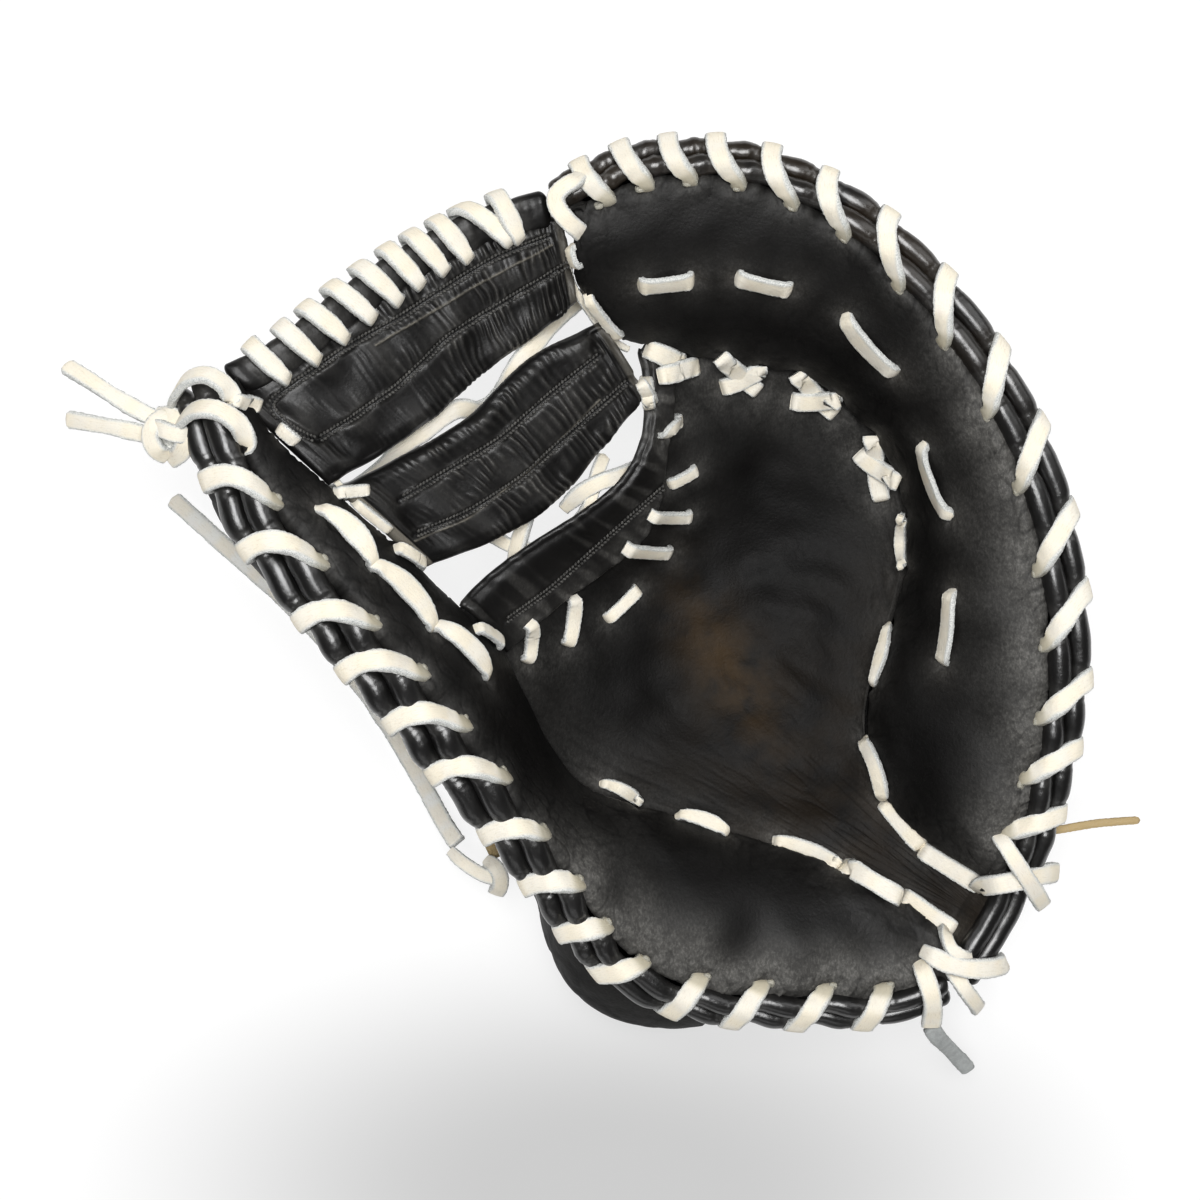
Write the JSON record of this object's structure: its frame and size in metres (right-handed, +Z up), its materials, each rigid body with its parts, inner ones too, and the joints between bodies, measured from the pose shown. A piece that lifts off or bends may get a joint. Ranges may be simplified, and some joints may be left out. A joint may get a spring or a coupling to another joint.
{
  "type": "first baseman mitt",
  "caption": "Black leather first base mitt lying on its back, laced all round with cream rawhide, with a two-bar closed web.",
  "frame": {"origin": "bottom centre of the mitt's box, its free lace ends left out, on the surface that it lies on", "axes": "+Z up out of the pocket, +Y from the heel towards the fingertips, -X towards the thumb"},
  "size_m": [0.3638, 0.3255, 0.1173],
  "materials": {
    "black_leather": "satin, finely creased, scuffed grey at the edges",
    "roll_leather": "glossy, smooth",
    "rawhide": "smooth cream grain side, fuzzy off-white flesh side",
    "tan_leather": "matt, raw"
  },
  "bodies": {
    "root": {"finger_panel": "black_leather", "thumb_panel": "black_leather", "pocket": "black_leather", "finger_back": "black_leather", "thumb_back": "black_leather", "web_base_bar": "black_leather", "web_top_bar": "black_leather", "web_middle_bar": "black_leather", "back_bridge": "black_leather", "wrist_strap": "black_leather", "finger_front_roll": "roll_leather", "finger_back_roll": "roll_leather", "thumb_front_roll": "roll_leather", "thumb_back_roll": "roll_leather", "heel_front_roll": "roll_leather", "heel_back_roll": "roll_leather", "web_rim": "roll_leather", "finger_rim_lace": "rawhide", "thumb_rim_lace": "rawhide", "web_rim_lace": "rawhide", "web_thumb_lace": "rawhide", "web_finger_lace": "rawhide", "web_upper_lace": "rawhide", "web_lower_lace": "rawhide", "heel_lace": "rawhide", "heel_corner_lace": "rawhide", "thumb_tip_knot": "rawhide", "thumb_tip_tail_upper": "rawhide", "thumb_tip_tail_lower": "rawhide", "strap_knot": "rawhide", "strap_tail": "rawhide", "heel_tail": "rawhide", "finger_tail": "tan_leather", "strap_tab": "tan_leather"}
  },
  "joints": []
}
